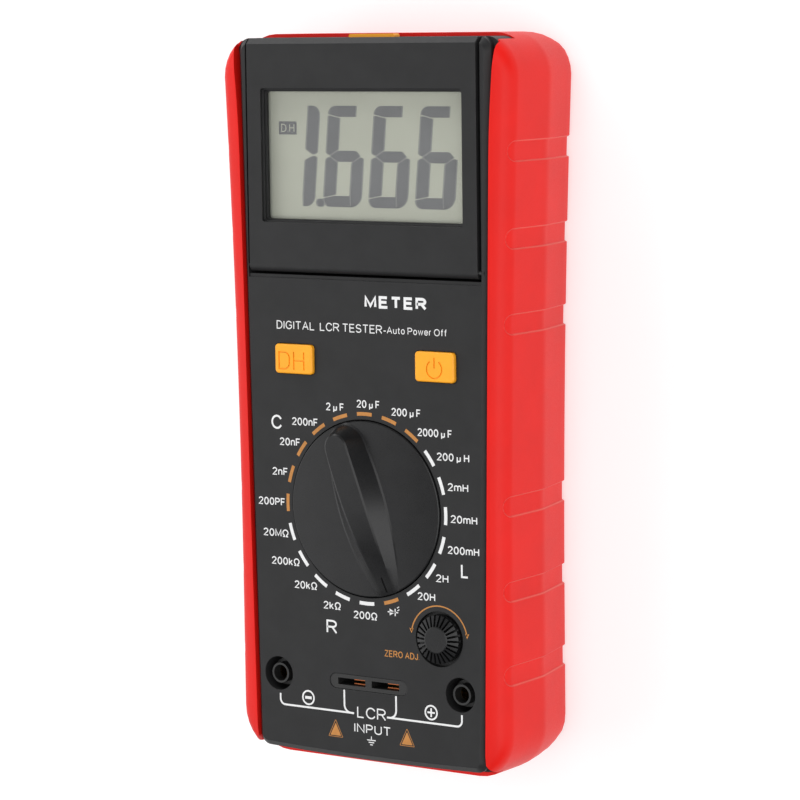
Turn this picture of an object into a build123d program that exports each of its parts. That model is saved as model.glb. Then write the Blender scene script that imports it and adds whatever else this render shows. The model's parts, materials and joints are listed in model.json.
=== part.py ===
from build123d import *
import math
import os

# Handheld LCR meter in a rubber boot, lying on its back. Millimetres.
# +X to the right across the face, +Y towards the display end, +Z out of the face.
# The origin is under the middle of the meter, on the surface that it lies on.

# ---- Boot -------------------------------------------------------------------------------------
BOOT_END = 95.0  # half the boot's length
BOOT_LOW_HALF = 42.0  # half width along the lower half
BOOT_TOP_HALF = 45.7  # half width at the display end, before its corners are rounded
FLARE_START = -52.0  # where the sides begin to flare
KNEE_Z = 18.8  # below this height the sides slope inwards
SLOPE = math.tan(math.radians(12.5))
BOOT_TOP_CORNER = 11.0
BOOT_LOW_CORNER = 12.0
JACK_END_Z = 31.5  # top of the boot's end wall at the jacks
TOP_ROUND = 11.0  # rounding of the back at the display end, seen from the side
LOW_ROUND = 17.0  # rounding of the back at the jack end
BACK_ROUND = 4.5
LIP_ROUND = 4.0
LIP_LEAN = math.radians(14.0)  # the lip slopes back from the edge of the face
LIP_WIDTH = 5.0
RIM_Z = 26.8  # the end walls stop here, behind the face
GROOVE_YS = [65.6, 43.7, 22.2, -23.9, -45.7, -67.3]
GROOVE_WIDTH = 5.1
GROOVE_DEPTH = 0.6
FIT = 0.1  # gap between the boot and the case

# ---- Case -------------------------------------------------------------------------------------
FACE_Z = 38.0
CASE_BACK = 2.6
SPLIT_Z = 20.0  # front and rear case meet here
SHOULDER = 1.6  # the case is this much wider under the boot's lip
SHOULDER_Z = 34.8
CASE_LOW = -93.4
CASE_TOP = 94.05
INNER_LOW = -92.6  # ends of the case inside the boot's end walls
INNER_TOP = 92.8
LOWER_BOW = 0.7
WALL = 2.0
INNER_FACE_Z = FACE_Z - WALL
TOP_BEVEL = 1.5

# ---- Display module ---------------------------------------------------------------------------
BAY_HALF = 36.2
BAY_LOW = 32.9
BAY_FLOOR = 27.2
FLOOR_THICKNESS = 1.6
MODULE_HALF = 35.35
MODULE_LOW = 33.5
MODULE_BACK = 27.6
MODULE_Z = 38.55
HINGE_Y = 35.1
HINGE_Z = 36.95
HINGE_ROUND = 1.6
PIN_R = 0.6
WINDOW_HALF = 31.1
WINDOW_LOW = 46.5
WINDOW_HIGH = 81.1
LCD_Z = 34.9
BACK_PLATE = 1.6

# ---- Controls ---------------------------------------------------------------------------------
DIAL = (0.0, -27.0)
KNOB_R = 22.95
KNOB_GAP = 0.3
DIAL_FLOOR = 34.6
HUB_R = 5.0
POINTER_ANGLE = 162.0  # clockwise from straight up
RANGES = 20
ZERO = (22.3, -59.0)
ZERO_R = 6.3
BUTTON_XS = (-21.55, 22.3)
BUTTON_Y = 10.97
BUTTON = (11.9, 7.7)
BUTTON_STANDS = 1.0
RUN = 0.06  # radial clearance of turning shafts

# ---- Jacks and board --------------------------------------------------------------------------
JACK_X = 28.575
JACK_Y = -72.9
WELL_R = 4.5
BOARD_Z = 26.9
BOARD_TOP = 28.5
SLOT_Y = -73.0
BOARD_BOSSES = [(-31.0, 24.0), (31.0, 24.0), (-31.0, -46.0), (31.0, -46.0)]
CASE_BOSSES = [(-31.0, 80.0), (31.0, 80.0), (-30.5, -83.5), (30.5, -83.5)]

os.makedirs("parts", exist_ok=True)


def save(piece, name):
    """Label a finished piece and write it."""
    piece.part.label = name
    export_step(piece.part, f"parts/{name}.step")


def slab(low, high, mode=Mode.ADD):
    """Box between two opposite corners."""
    size = [b - a for a, b in zip(low, high)]
    with Locations(low):
        Box(*size, align=(Align.MIN, Align.MIN, Align.MIN), mode=mode)


def post(place, low, high, radius, mode=Mode.ADD):
    """Upright cylinder over a point of the plan."""
    with Locations((place[0], place[1], low)):
        Cylinder(radius, high - low, align=(Align.CENTER, Align.CENTER, Align.MIN), mode=mode)


def coil(start, direction, length, radius, wire, turns):
    """Helical spring from a start point along a direction."""
    with BuildPart() as spring:
        with BuildLine() as path:
            pitch = length / turns
            Helix(pitch=pitch, height=length, radius=radius, center=start, direction=direction)
        with BuildSketch(Plane(origin=path.line @ 0, z_dir=path.line % 0)):
            Circle(wire)
        sweep(is_frenet=True)
    return spring.part


def case_half_width(y):
    """Half width of the face at a place along the case."""
    return 37.3 + 0.0174 * y


def case_outline(height, extra, low_end, high_end, low_corner=3.0, high_corner=3.5):
    """Plan outline of the case: nearly parallel sides and a slightly bowed lower edge."""
    low = case_half_width(low_end) + extra
    high = case_half_width(high_end) + extra
    bowed = low_end + LOWER_BOW
    with BuildSketch(Plane.XY.offset(height)) as outline:
        with BuildLine():
            ThreePointArc((-low, bowed), (0, low_end), (low, bowed))
            Polyline((low, bowed), (high, high_end), (-high, high_end), (-low, bowed))
        make_face()
        fillet(outline.vertices().group_by(Axis.Y)[0], low_corner)
        fillet(outline.vertices().group_by(Axis.Y)[-1], high_corner)
    return outline.sketch


def boot_outline(height, inset):
    """Plan outline of the boot, drawn in by an inset at its sides."""
    low = BOOT_LOW_HALF - inset
    top = BOOT_TOP_HALF - inset
    end = BOOT_END
    with BuildSketch(Plane.XY.offset(height)) as outline:
        with BuildLine():
            Polyline((low, FLARE_START), (low, -end), (-low, -end), (-low, FLARE_START))
            TangentArc((low, FLARE_START), (top, end), tangent=(0, 1))
            TangentArc((-low, FLARE_START), (-top, end), tangent=(0, 1))
            Line((top, end), (-top, end))
        make_face()
        fillet(outline.vertices().group_by(Axis.Y)[0], BOOT_LOW_CORNER)
        fillet(outline.vertices().group_by(Axis.Y)[-1], BOOT_TOP_CORNER)
    return outline.sketch


def side_profile(low_end, high_end, back, low_radius, high_radius):
    """Side view of a block whose back is rounded at both ends."""
    with BuildSketch(Plane.YZ.offset(-60)) as profile:
        with BuildLine():
            Polyline((low_end, back), (low_end, FACE_Z + 9), (high_end, FACE_Z + 9), (high_end, back),
                     (low_end, back))
        make_face()
        # In the sketch's own axes X is along the block and Y is its height.
        fillet(profile.vertices().group_by(Axis.Y)[0].sort_by(Axis.X)[0], low_radius)
        fillet(profile.vertices().group_by(Axis.Y)[0].sort_by(Axis.X)[-1], high_radius)
    return profile.sketch


def boot_sections():
    """Height and inset of the boot's side, from the back, up the slope and the side, over the lip."""
    sections = []
    lean = math.atan(SLOPE)
    centre = (KNEE_Z - BACK_ROUND) * SLOPE + BACK_ROUND / math.cos(lean)
    for step in range(5):
        turn = math.pi / 2 - step * (math.pi / 2 - lean) / 4
        sections.append((BACK_ROUND - BACK_ROUND * math.sin(turn), centre - BACK_ROUND * math.cos(turn)))
    sections.append((KNEE_Z, 0))
    lip_centre = FACE_Z - (LIP_WIDTH - LIP_ROUND) * math.tan(LIP_LEAN) - LIP_ROUND / math.cos(LIP_LEAN)
    for step in range(5):
        turn = step * (math.pi / 2 - LIP_LEAN) / 4
        sections.append((lip_centre + LIP_ROUND * math.sin(turn), LIP_ROUND - LIP_ROUND * math.cos(turn)))
    sections.append((FACE_Z, LIP_WIDTH))
    return sections


def boot_block(inset):
    """The boot's outer shape as a solid, drawn in by an inset at its sides and back."""
    with BuildPart() as block:
        for height, side_inset in boot_sections():
            add(boot_outline(height, side_inset + inset))
        loft(ruled=True)
        add(side_profile(-BOOT_END, BOOT_END, inset, LOW_ROUND, TOP_ROUND))
        extrude(amount=120, dir=(1, 0, 0), mode=Mode.INTERSECT)
    return block.part


def case_block(gap, back):
    """The case's outer shape below the shoulder as a solid, grown by a gap."""
    with BuildPart() as block:
        lean = (SPLIT_Z - back) * SLOPE
        low_end = INNER_LOW - gap
        high_end = INNER_TOP + gap
        add(case_outline(back, SHOULDER + gap - lean, low_end, high_end))
        add(case_outline(SPLIT_Z, SHOULDER + gap, low_end, high_end))
        loft(ruled=True)
        add(case_outline(SPLIT_Z, SHOULDER + gap, low_end, high_end))
        extrude(amount=SHOULDER_Z + gap - SPLIT_Z)
        add(side_profile(low_end, high_end, back, LOW_ROUND - 2.4, TOP_ROUND - 2.2))
        extrude(amount=120, dir=(1, 0, 0), mode=Mode.INTERSECT)
    return block.part


# ---- Rubber boot ------------------------------------------------------------------------------
boot_outer = boot_block(0)
boot_core = boot_block(GROOVE_DEPTH)
boot_cavity = case_block(FIT, CASE_BACK - FIT)

with BuildPart() as groove_bands:
    for groove_y in GROOVE_YS:
        with BuildSketch(Plane.YZ):
            with Locations((groove_y, 15)):
                Rectangle(GROOVE_WIDTH, 35)
            with Locations((groove_y, 32.5)):
                Circle(GROOVE_WIDTH / 2)
        extrude(amount=60, both=True)
    slab((-33, -100, -5), (33, 100, 60), Mode.SUBTRACT)
    add(boot_core, mode=Mode.SUBTRACT)

with BuildPart() as holster:
    add(boot_outer)
    add(groove_bands.part, mode=Mode.SUBTRACT)
    add(boot_cavity, mode=Mode.SUBTRACT)
    add(case_outline(RIM_Z, SHOULDER + FIT, CASE_LOW - FIT, CASE_TOP + FIT))
    extrude(amount=SHOULDER_Z + FIT - RIM_Z, mode=Mode.SUBTRACT)
    # Opening around the face, eased away from the case towards the display end.
    with BuildSketch(Plane.XY.offset(SHOULDER_Z)):
        with BuildLine():
            low_x = case_half_width(-96) + 0.15
            mid_x = case_half_width(62) + 0.15
            top_x = case_half_width(91) + 1.6
            Polyline((mid_x, 62), (low_x, -96), (-low_x, -96), (-mid_x, 62))
            TangentArc((mid_x, 62), (top_x, 96), tangent=(0.0174, 1))
            TangentArc((-mid_x, 62), (-top_x, 96), tangent=(-0.0174, 1))
            Line((top_x, 96), (-top_x, 96))
        make_face()
    extrude(amount=5, mode=Mode.SUBTRACT)
    # The end walls stop behind the face.
    slab((-39.8, 88.5, RIM_Z + FIT), (39.8, 96, 39), Mode.SUBTRACT)
    slab((-37.2, -96, JACK_END_Z), (37.2, -91.5, 39), Mode.SUBTRACT)
    # Window in the back for the tilt stand.
    with BuildSketch(Plane.XY.offset(-1)):
        with Locations((0, -3.3)):
            RectangleRounded(50.4, 69.6, 3)
    extrude(amount=5, mode=Mode.SUBTRACT)
save(holster, "holster")

# ---- Front case -------------------------------------------------------------------------------
with BuildPart() as front_case:
    add(case_outline(SPLIT_Z, SHOULDER, INNER_LOW, INNER_TOP))
    extrude(amount=RIM_Z + 0.2 - SPLIT_Z)
    add(case_outline(RIM_Z + 0.2, SHOULDER, CASE_LOW, CASE_TOP))
    extrude(amount=SHOULDER_Z - RIM_Z - 0.2)
    add(case_outline(SHOULDER_Z, 0, CASE_LOW, CASE_TOP))
    extrude(amount=FACE_Z - SHOULDER_Z)
    face_edges = front_case.edges().filter_by_position(Axis.Z, FACE_Z - 0.01, FACE_Z + 0.01)
    chamfer(face_edges.group_by(Axis.Y)[-1], TOP_BEVEL)
    # Space inside, below the display bay and behind the controls.
    add(case_outline(SPLIT_Z, -1.8, INNER_LOW + WALL, INNER_TOP - WALL))
    extrude(amount=BAY_FLOOR - FLOOR_THICKNESS - SPLIT_Z, mode=Mode.SUBTRACT)
    add(case_outline(SPLIT_Z, -1.8, INNER_LOW + WALL, BAY_LOW - 2.4))
    extrude(amount=INNER_FACE_Z - SPLIT_Z, mode=Mode.SUBTRACT)
    # Display bay, open at the top end, with a small step along its lower edge.
    slab((-BAY_HALF, BAY_LOW, BAY_FLOOR), (BAY_HALF, 96, 40), Mode.SUBTRACT)
    slab((-BAY_HALF, BAY_LOW - 0.9, FACE_Z - 0.4), (BAY_HALF, BAY_LOW, 40), Mode.SUBTRACT)
    slab((-9, 36.2, 25), (9, 39.0, 28), Mode.SUBTRACT)
    slab((-4.6, 86.6, 25), (4.6, 91.2, 28), Mode.SUBTRACT)
    # Dial recess with its bearing and the detent ring below it.
    post(DIAL, 29.0, INNER_FACE_Z, 25.0)
    post(DIAL, 29.0, 33.2, 22.3, Mode.SUBTRACT)
    with Locations((DIAL[0], DIAL[1], 29.0)):
        with PolarLocations(22.9, RANGES, start_angle=90 - POINTER_ANGLE):
            Cylinder(0.9, 4.2, align=(Align.CENTER, Align.CENTER, Align.MIN), mode=Mode.SUBTRACT)
    post(DIAL, DIAL_FLOOR, 40, KNOB_R + KNOB_GAP, Mode.SUBTRACT)
    post(DIAL, 33.0, 40, HUB_R + RUN, Mode.SUBTRACT)
    # Zero-adjust well.
    post(ZERO, 34.6, INNER_FACE_Z, 8.6)
    post(ZERO, 36.4, 40, 7.2, Mode.SUBTRACT)
    post(ZERO, 34, 40, 2.6, Mode.SUBTRACT)
    # Button holes.
    for button_x in BUTTON_XS:
        with BuildSketch(Plane.XY.offset(INNER_FACE_Z - 1)):
            with Locations((button_x, BUTTON_Y)):
                RectangleRounded(BUTTON[0] + 0.3, BUTTON[1] + 0.3, 1.1)
        extrude(amount=5, mode=Mode.SUBTRACT)
    # Jack wells and the test-slot opening.
    for side in (-1, 1):
        post((side * JACK_X, JACK_Y), BOARD_TOP + 0.1, INNER_FACE_Z, WELL_R + 1.4)
        post((side * JACK_X, JACK_Y), BOARD_TOP, 40, WELL_R, Mode.SUBTRACT)
    with BuildSketch(Plane.XY.offset(INNER_FACE_Z - 1)):
        with Locations((0, SLOT_Y)):
            SlotOverall(24.4, 4.0)
    extrude(amount=5, mode=Mode.SUBTRACT)
    # Screw bosses for the board and for the rear case.
    for place in BOARD_BOSSES:
        post(place, BOARD_TOP, INNER_FACE_Z + 0.5, 2.6)
        post(place, BOARD_TOP, 34.5, 1.1, Mode.SUBTRACT)
    for place in CASE_BOSSES:
        top = BAY_FLOOR if place[1] > 0 else INNER_FACE_Z + 0.5
        post(place, SPLIT_Z, top, 3.4)
        post(place, SPLIT_Z, 26.2, 1.2, Mode.SUBTRACT)
    # Holes in the side rails for the hinge pins.
    for side in (-1, 1):
        with Locations(Location((side * 36.5, HINGE_Y, HINGE_Z), (0, 90, 0))):
            Cylinder(PIN_R + 0.05, 0.8, mode=Mode.SUBTRACT)
save(front_case, "front_case")

# ---- Rear case --------------------------------------------------------------------------------
POCKET_LOW = -37.2
POCKET_HIGH = 30.6
POCKET_Z = 6.4
COVER_LOW = -76.8
COVER_HIGH = -46.4
COVER_HALF = 28.0
STAND_Y = 27.0
STAND_Z = 4.6
STAND_PIN_R = 1.05

rear_outer = case_block(0, CASE_BACK)
with BuildPart() as rear_case:
    add(rear_outer)
    slab((-60, -100, SPLIT_Z), (60, 100, 60), Mode.SUBTRACT)
    with BuildSketch(Plane.XY.offset(4.8)):
        with Locations((0, 0.5)):
            RectangleRounded(66.0, 163.0, 4)
    with BuildSketch(Plane.XY.offset(SPLIT_Z)):
        RectangleRounded(72.0, 180.0, 4)
    loft(mode=Mode.SUBTRACT)
    # Pocket for the tilt stand.
    slab((-26.2, POCKET_LOW - 1.8, CASE_BACK), (26.2, POCKET_HIGH + 1.8, POCKET_Z + 1.6))
    slab((-24.4, POCKET_LOW, 0), (24.4, POCKET_HIGH, POCKET_Z), Mode.SUBTRACT)
    for side in (-1, 1):
        with Locations(Location((side * 25.0, STAND_Y, STAND_Z), (0, 90, 0))):
            Cylinder(STAND_PIN_R + 0.07, 1.3, mode=Mode.SUBTRACT)
    # Battery compartment: its opening with a ledge for the cover, and its two side walls.
    opening_x = COVER_HALF + 0.15
    slab((-opening_x, COVER_LOW - 0.15, 0), (opening_x, COVER_HIGH + 0.15, 4.2), Mode.SUBTRACT)
    ledge_x = COVER_HALF - 1.2
    slab((-ledge_x, COVER_LOW + 1.2, 4), (ledge_x, COVER_HIGH - 1.2, 6), Mode.SUBTRACT)
    slab((-27.6, COVER_LOW - 0.4, 4.8), (27.0, COVER_LOW + 0.8, 19.5))
    slab((-27.6, COVER_HIGH - 0.8, 4.8), (27.0, COVER_HIGH + 0.4, 19.5))
    # Screw for the cover, then the tubes for the case screws.
    post((0, COVER_HIGH + 4.0), CASE_BACK, 11.0, 3.4)
    post((0, COVER_HIGH + 4.0), 0, 10.0, 1.1, Mode.SUBTRACT)
    post((0, COVER_HIGH + 4.0), 0, 4.2, 3.7, Mode.SUBTRACT)
    slab((-3.7, COVER_HIGH, 0), (3.7, COVER_HIGH + 4.0, 4.2), Mode.SUBTRACT)
    for place in CASE_BOSSES:
        post(place, 0, SPLIT_Z, 3.9)
    add(rear_outer, mode=Mode.INTERSECT)
    for place in CASE_BOSSES:
        post(place, 0, SPLIT_Z, 1.5, Mode.SUBTRACT)
        post(place, 0, 8.0, 2.9, Mode.SUBTRACT)
save(rear_case, "rear_case")

with BuildPart() as battery_cover:
    slab((-COVER_HALF, COVER_LOW, CASE_BACK), (COVER_HALF, COVER_HIGH, 4.1))
    fillet(battery_cover.edges().filter_by(Axis.Z), 1.5)
    post((0, COVER_HIGH + 4.0), CASE_BACK, 4.1, 3.5)
    slab((-3.5, COVER_HIGH - 2, CASE_BACK), (3.5, COVER_HIGH + 4.0, 4.1))
    post((0, COVER_HIGH + 4.0), CASE_BACK, 4.1, 1.2, Mode.SUBTRACT)
    post((0, COVER_HIGH + 4.0), CASE_BACK, 3.5, 2.6, Mode.SUBTRACT)
    # Grip ribs across the cover.
    with Locations((0, (COVER_LOW + COVER_HIGH) / 2, CASE_BACK)):
        with GridLocations(0, 2.4, 1, 6):
            Box(24, 1.0, 0.6, align=(Align.CENTER, Align.CENTER, Align.CENTER), mode=Mode.SUBTRACT)
save(battery_cover, "battery_cover")


def screw(place, head_low, head_height, head_r, shank_high, shank_r):
    """Pan-head screw, head downwards, with a cross recess."""
    post(place, head_low, head_low + head_height, head_r)
    post(place, head_low, shank_high, shank_r)
    with Locations((place[0], place[1], head_low)):
        Box(head_r * 1.2, head_r * 0.3, head_height, mode=Mode.SUBTRACT)
        Box(head_r * 0.3, head_r * 1.2, head_height, mode=Mode.SUBTRACT)


with BuildPart() as cover_screw:
    screw((0, COVER_HIGH + 4.0), CASE_BACK + 0.1, 0.8, 2.4, 9.5, 1.05)
save(cover_screw, "cover_screw")

with BuildPart() as case_screws:
    for place in CASE_BOSSES:
        screw(place, 5.9, 2.1, 2.7, 25.8, 1.15)
save(case_screws, "case_screws")

# ---- Tilt stand -------------------------------------------------------------------------------
with BuildPart() as tilt_stand:
    slab((-23.9, -36.4, 3.2), (23.9, STAND_Y, 5.6))
    fillet(tilt_stand.edges().filter_by(Axis.Z).group_by(Axis.Y)[0], 4)
    slab((-16.0, -30.0, 3), (16.0, 14.0, 6), Mode.SUBTRACT)
    fillet(tilt_stand.edges().filter_by(Axis.Z).filter_by(lambda edge: abs(edge.center().X) < 17), 3)
    with Locations(Location((0, STAND_Y, STAND_Z), (0, 90, 0))):
        Cylinder(1.6, 47.8)
        Cylinder(STAND_PIN_R, 51.0)
save(tilt_stand, "tilt_stand")

# ---- Battery ----------------------------------------------------------------------------------
BATTERY_LOW = (-26.2, -75.0, 4.9)
BATTERY_HIGH = (19.6, -48.6, 22.3)
TERMINAL_YS = (-68.1, -55.5)
BATTERY_MID_Z = 13.6
SNAP_X = 22.4

with BuildPart() as battery_9v:
    slab(BATTERY_LOW, BATTERY_HIGH)
    fillet(battery_9v.edges().filter_by(Axis.X), 1.8)
    for terminal_y, radius in zip(TERMINAL_YS, (2.9, 4.0)):
        with Locations(Location((BATTERY_HIGH[0], terminal_y, BATTERY_MID_Z), (0, 90, 0))):
            Cylinder(radius, SNAP_X - BATTERY_HIGH[0], align=(Align.CENTER, Align.CENTER, Align.MIN))
save(battery_9v, "battery_9v")

with BuildPart() as battery_snap:
    slab((SNAP_X, -74.2, 7.6), (SNAP_X + 2.2, -49.4, 19.6))
    fillet(battery_snap.edges().filter_by(Axis.X), 4)
save(battery_snap, "battery_snap")


def lead(start_y, board_y):
    """Insulated wire from the snap connector up to the board."""
    with BuildPart() as wire:
        with BuildLine() as path:
            FilletPolyline(
                (SNAP_X + 2.2, start_y, 15.0),
                (SNAP_X + 6.0, start_y, 15.0),
                (SNAP_X + 7.4, board_y, 20.0),
                (SNAP_X + 7.4, board_y, BOARD_Z),
                radius=1.8,
            )
        with BuildSketch(Plane(origin=path.line @ 0, z_dir=path.line % 0)):
            Circle(0.6)
        sweep()
    return wire


save(lead(-60.0, -50.0), "battery_lead_red")
save(lead(-63.0, -53.5), "battery_lead_black")

# ---- Main board -------------------------------------------------------------------------------
with BuildPart() as main_board:
    slab((-33.6, -78.6, BOARD_Z), (33.6, 30.0, BOARD_TOP))
    for place in BOARD_BOSSES:
        post(place, BOARD_Z, BOARD_TOP, 1.4, Mode.SUBTRACT)
    for side in (-1, 1):
        post((side * JACK_X, JACK_Y), BOARD_Z, BOARD_TOP, 2.85, Mode.SUBTRACT)
save(main_board, "main_board")

with BuildPart() as board_screws:
    for place in BOARD_BOSSES:
        screw(place, BOARD_Z - 1.3, 1.3, 2.2, 34.0, 1.05)
save(board_screws, "board_screws")

with BuildPart() as measuring_chips:
    for place in ((-14.0, 12.0), (10.0, 12.0), (-22.0, -12.0)):
        slab((place[0] - 6, place[1] - 5, BOARD_Z - 2.2), (place[0] + 6, place[1] + 5, BOARD_Z - 0.4))
        with Locations((place[0], place[1], BOARD_Z - 0.5)):
            with GridLocations(1.6, 12.0, 7, 2):
                Box(0.5, 2.0, 1.0)
save(measuring_chips, "measuring_chips")

with BuildPart() as electrolytic_capacitors:
    for place in ((24.0, 12.0), (24.0, 3.0), (24.0, -6.0)):
        post(place, BOARD_Z - 8.0, BOARD_Z, 3.1)
    chamfer(electrolytic_capacitors.edges().group_by(Axis.Z)[0], 0.4)
save(electrolytic_capacitors, "electrolytic_capacitors")

with BuildPart() as film_capacitors:
    for place in ((-4.0, -6.0), (6.0, -6.0), (-4.0, -13.0), (6.0, -13.0)):
        slab((place[0] - 3.6, place[1] - 1.5, BOARD_Z - 6.5), (place[0] + 3.6, place[1] + 1.5, BOARD_Z))
    fillet(film_capacitors.edges().filter_by(Axis.Z), 0.6)
save(film_capacitors, "film_capacitors")

with BuildPart() as resistors:
    for column in (-16.0, -4.0, 8.0):
        for row in (-22.0, -25.0, -28.0, -31.0):
            with Locations(Location((column, row, BOARD_Z - 1.2), (0, 90, 0))):
                Cylinder(1.1, 6.0)
                Cylinder(0.3, 9.0)
save(resistors, "resistors")

with BuildPart() as crystal:
    with BuildSketch(Plane.XY.offset(BOARD_Z - 3.6)):
        with Locations((-24.0, -27.0)):
            SlotOverall(11.0, 4.6, rotation=90)
    extrude(amount=3.6)
save(crystal, "crystal")

FUSE_Y = -38.0
FUSE_Z = BOARD_Z - 4.0
with BuildPart() as fuse:
    with Locations(Location((0, FUSE_Y, FUSE_Z), (0, 90, 0))):
        Cylinder(2.2, 20.0)
    for side in (-1, 1):
        with Locations(Location((side * 7.6, FUSE_Y, FUSE_Z), (0, 90, 0))):
            Cylinder(2.5, 5.0)
save(fuse, "fuse")

with BuildPart() as fuse_clips:
    for side in (-1, 1):
        low_x = side * 7.6 - 2.0
        high_x = side * 7.6 + 2.0
        slab((low_x, FUSE_Y - 3.1, FUSE_Z - 1.8), (high_x, FUSE_Y + 3.1, BOARD_Z))
        slab((low_x, FUSE_Y - 2.0, FUSE_Z - 2.0), (high_x, FUSE_Y + 2.0, FUSE_Z), Mode.SUBTRACT)
    with Locations(Location((0, FUSE_Y, FUSE_Z), (0, 90, 0))):
        Cylinder(2.55, 24.0, mode=Mode.SUBTRACT)
save(fuse_clips, "fuse_clips")

with BuildPart() as tact_switches:
    for button_x in BUTTON_XS:
        place = (button_x, BUTTON_Y)
        slab((place[0] - 3, place[1] - 3, BOARD_TOP), (place[0] + 3, place[1] + 3, 32.0))
        post(place, 32.0, 33.1, 1.7)
save(tact_switches, "tact_switches")

# ---- Jacks and test slots ---------------------------------------------------------------------
with BuildPart() as jack_sleeves:
    for side in (-1, 1):
        place = (side * JACK_X, JACK_Y)
        post(place, BOARD_TOP + 0.1, 30.0, WELL_R - 0.05)
        post(place, 30.0, 34.6, 3.6)
        post(place, 34.6, 37.3, 2.7)
        post(place, BOARD_TOP + 0.1, 34.4, 2.8, Mode.SUBTRACT)
        post(place, 34.4, 37.3, 2.15, Mode.SUBTRACT)
save(jack_sleeves, "jack_sleeves")

with BuildPart() as jack_contacts:
    for side in (-1, 1):
        place = (side * JACK_X, JACK_Y)
        post(place, 24.0, 34.35, 2.75)
        post(place, 25.0, 34.35, 2.1, Mode.SUBTRACT)
save(jack_contacts, "jack_contacts")

with BuildPart() as test_slot_insert:
    with BuildSketch(Plane.XY.offset(34.0)):
        with Locations((0, SLOT_Y)):
            SlotOverall(27.0, 6.4)
    extrude(amount=1.9)
    with BuildSketch(Plane.XY.offset(31.0)):
        with Locations((0, SLOT_Y)):
            SlotOverall(24.2, 3.8)
    extrude(amount=FACE_Z - 31.15)
    for side in (-1, 1):
        middle = side * 5.3
        slab((middle - 4.3, SLOT_Y - 0.9, 30), (middle + 4.3, SLOT_Y + 0.9, 40), Mode.SUBTRACT)
save(test_slot_insert, "test_slot_insert")

with BuildPart() as test_clips:
    for side in (-1, 1):
        middle = side * 5.3 + 2.0
        slab((middle - 2.0, SLOT_Y - 0.8, BOARD_TOP), (middle + 2.0, SLOT_Y + 0.8, BOARD_TOP + 1.0))
        for leaf in (-1, 1):
            leaf_y = SLOT_Y + leaf * 0.55
            slab((middle - 2.0, leaf_y - 0.15, BOARD_TOP), (middle + 2.0, leaf_y + 0.15, 36.6))
save(test_clips, "test_clips")

with BuildPart() as pot_body:
    slab((ZERO[0] - 4.8, ZERO[1] - 4.8, BOARD_TOP), (ZERO[0] + 4.8, ZERO[1] + 4.8, 33.0))
    post(ZERO, 29.6, 33.0, 1.5 + RUN, Mode.SUBTRACT)
save(pot_body, "pot_body")

# ---- Range dial -------------------------------------------------------------------------------
# The grip: distance from the centre towards the pointer, half width at the disc, half width at its
# top, and height of its top above the face.
GRIP = [
    (-21.4, 5.0, 3.5, 5.9),
    (-15.0, 6.2, 3.8, 5.8),
    (-8.0, 7.1, 3.8, 5.5),
    (0.0, 7.4, 3.7, 4.9),
    (7.0, 6.9, 3.3, 3.9),
    (13.0, 6.0, 2.7, 2.6),
    (18.0, 4.9, 2.2, 1.5),
    (23.2, 3.3, 1.8, 0.6),
]
DISC_RIM_Z = FACE_Z + 0.4
DISC_DOME = 0.9

with BuildPart() as range_knob:
    with BuildSketch(Plane.XZ):
        with BuildLine():
            Polyline((0, DISC_RIM_Z + DISC_DOME), (0, 35.0), (KNOB_R, 35.0), (KNOB_R, DISC_RIM_Z))
            dome_middle = (KNOB_R / 2, DISC_RIM_Z + 0.75 * DISC_DOME)
            ThreePointArc((KNOB_R, DISC_RIM_Z), dome_middle, (0, DISC_RIM_Z + DISC_DOME))
        make_face()
    revolve(axis=Axis.Z)
    post((0, 0), 29.7, 35.0, HUB_R)
    for reach, base, top, height in GRIP:
        with BuildSketch(Plane.XZ.offset(-reach)):
            with BuildLine():
                Polyline(
                    (-base, 36.5),
                    (base, 36.5),
                    (base, DISC_RIM_Z),
                    (top, FACE_Z + height),
                    (-top, FACE_Z + height),
                    (-base, DISC_RIM_Z),
                    (-base, 36.5),
                )
            make_face()
    loft(ruled=True)
    with BuildSketch(Plane.XY.offset(29)):
        Circle(KNOB_R)
    extrude(amount=20, mode=Mode.INTERSECT)
range_knob.part.locate(Location((DIAL[0], DIAL[1], 0), (0, 0, -POINTER_ANGLE)))
save(range_knob, "range_knob")

BALL_R = 1.0
BALL_REACH = 21.1
ROTOR_Z = 31.1
with BuildPart() as dial_rotor:
    post(DIAL, 29.7, 32.5, 21.6)
    post(DIAL, 29.7, 32.5, HUB_R, Mode.SUBTRACT)
    for side in (-1, 1):
        with Locations(Location((side * 19.0, DIAL[1], ROTOR_Z), (0, 90, 0))):
            Cylinder(BALL_R + 0.1, 7.0, mode=Mode.SUBTRACT)
save(dial_rotor, "dial_rotor")

with BuildPart() as rotor_contacts:
    for turn in range(6):
        with Locations(Location((DIAL[0], DIAL[1], 0), (0, 0, 60 * turn + 15))):
            with Locations((12.0, 0, 29.15)):
                Box(9.0, 1.6, 0.35)
            for reach in (8.4, 15.6):
                with Locations((reach, 0, 28.95)):
                    Box(1.2, 1.6, 0.6)
            with Locations((12.0, 0, 29.5)):
                Box(1.6, 1.2, 0.4)
save(rotor_contacts, "rotor_contacts")

with BuildPart() as detent_balls:
    for side in (-1, 1):
        with Locations((side * BALL_REACH, DIAL[1], ROTOR_Z)):
            Sphere(BALL_R)
save(detent_balls, "detent_balls")

with BuildPart() as detent_springs:
    for side in (-1, 1):
        add(coil((side * 15.9, DIAL[1], ROTOR_Z), (side, 0, 0), 4.0, 0.75, 0.14, 6))
save(detent_springs, "detent_springs")

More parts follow.
